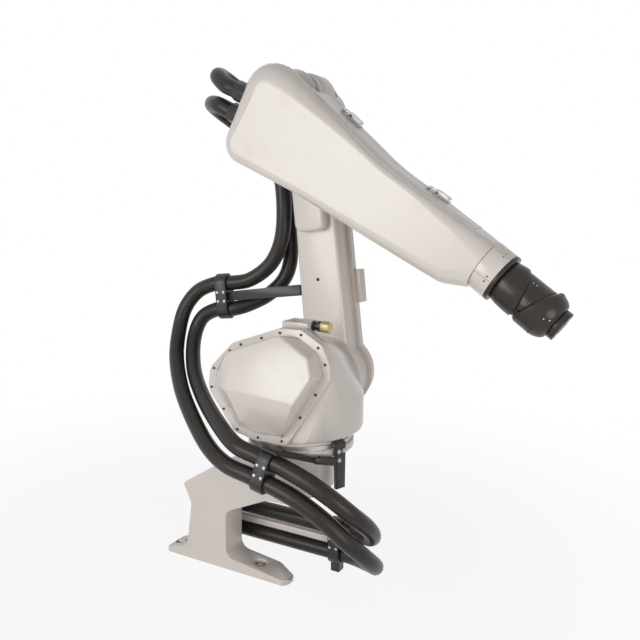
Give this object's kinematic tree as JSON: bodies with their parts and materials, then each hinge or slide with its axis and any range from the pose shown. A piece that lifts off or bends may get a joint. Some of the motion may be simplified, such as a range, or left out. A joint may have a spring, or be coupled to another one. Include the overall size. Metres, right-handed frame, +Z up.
{
  "type": "six-axis painting robot arm",
  "caption": "Six-axis painting robot on a slender C-shaped floor base, with a faceted motor cover, a long tapered forearm, a hollow slanted wrist and a pair of outside hoses.",
  "frame": {"origin": "on the foot's underside where the base stands on the floor, in its middle plane, below the column's front face", "axes": "+Z up, +X the way the arm reaches at rest, -Y the side with the faceted motor cover"},
  "size_m": [1.7756, 0.7113, 2.1049],
  "materials": {
    "white_paint": "warm white satin paint",
    "hose_rubber": "smooth black-brown rubber hose",
    "black_metal": "black satin paint",
    "wrist_dark": "dark gloss finish",
    "bare_steel": "machined steel",
    "brass": "dull brass"
  },
  "bodies": {
    "base": {"base_casting": "white_paint", "bearing_ring": "bare_steel", "inlet_bracket": "black_metal", "inlet_glands": "bare_steel", "hose_support_bar": "white_paint", "base_hose_clamp": "black_metal", "base_hose_upper": "hose_rubber", "base_hose_lower": "hose_rubber", "loop_hose_upper": "hose_rubber", "loop_hose_lower": "hose_rubber"},
    "turret": {"turret_flange": "white_paint", "turret_housing": "white_paint", "cover_flange": "white_paint", "motor_cover": "white_paint", "top_box": "white_paint", "cable_gland": "brass", "turret_bracket": "black_metal", "turret_hose_clamp": "black_metal", "riser_hose_outer": "hose_rubber", "riser_hose_inner": "hose_rubber"},
    "lower_arm": {"arm_flange": "white_paint", "inner_arm": "white_paint", "j3_hub": "white_paint", "arm_motor_cover": "white_paint", "arm_side_box": "white_paint", "arm_hose_bar": "black_metal", "arm_hose_clamp": "black_metal", "upper_hose_outer": "hose_rubber", "upper_hose_inner": "hose_rubber"},
    "forearm": {"forearm_shell": "white_paint", "forearm_lid": "white_paint", "lid_latches": "bare_steel", "j3_seat": "white_paint", "wrist_collar": "white_paint", "rear_glands": "bare_steel"},
    "wrist_roll": {"wrist_ring": "black_metal", "roll_housing": "wrist_dark", "roll_neck": "wrist_dark"},
    "wrist_bend": {"elbow": "wrist_dark"},
    "tool": {"tool_flange": "wrist_dark"}
  },
  "joints": [
    {"name": "waist", "type": "hinge", "parent": "base", "child": "turret", "pos_m": [0.335, 0, 0.664], "axis": [0, 0, 1], "range_deg": [-150, 150], "deforming": ["loop_hose_upper", "loop_hose_lower"]},
    {"name": "shoulder", "type": "hinge", "parent": "turret", "child": "lower_arm", "pos_m": [0.335, 0.19, 0.8523], "axis": [0, 1, 0], "range_deg": [-58.6, 81.4], "deforming": ["riser_hose_outer", "riser_hose_inner"]},
    {"name": "forearm_pivot", "type": "hinge", "parent": "lower_arm", "child": "forearm", "pos_m": [0.20748, 0.135, 1.98917], "axis": [0, -1, 0], "range_deg": [-21.2, 123.8], "deforming": ["upper_hose_outer", "upper_hose_inner"]},
    {"name": "wrist_turn", "type": "hinge", "parent": "forearm", "child": "wrist_roll", "pos_m": [1.11264, 0, 1.33775], "axis": [0.8151, 0, -0.5793], "range_deg": [-270, 270]},
    {"name": "wrist_tilt", "type": "hinge", "parent": "wrist_roll", "child": "wrist_bend", "pos_m": [1.23736, 0, 1.24912], "axis": [0.5591, -0.1583, -0.8138], "range_deg": [-180, 180]},
    {"name": "tool_turn", "type": "hinge", "parent": "wrist_bend", "child": "tool", "pos_m": [1.30909, 0, 1.19815], "axis": [0.8151, 0, -0.5793], "range_deg": [-270, 270]}
  ]
}
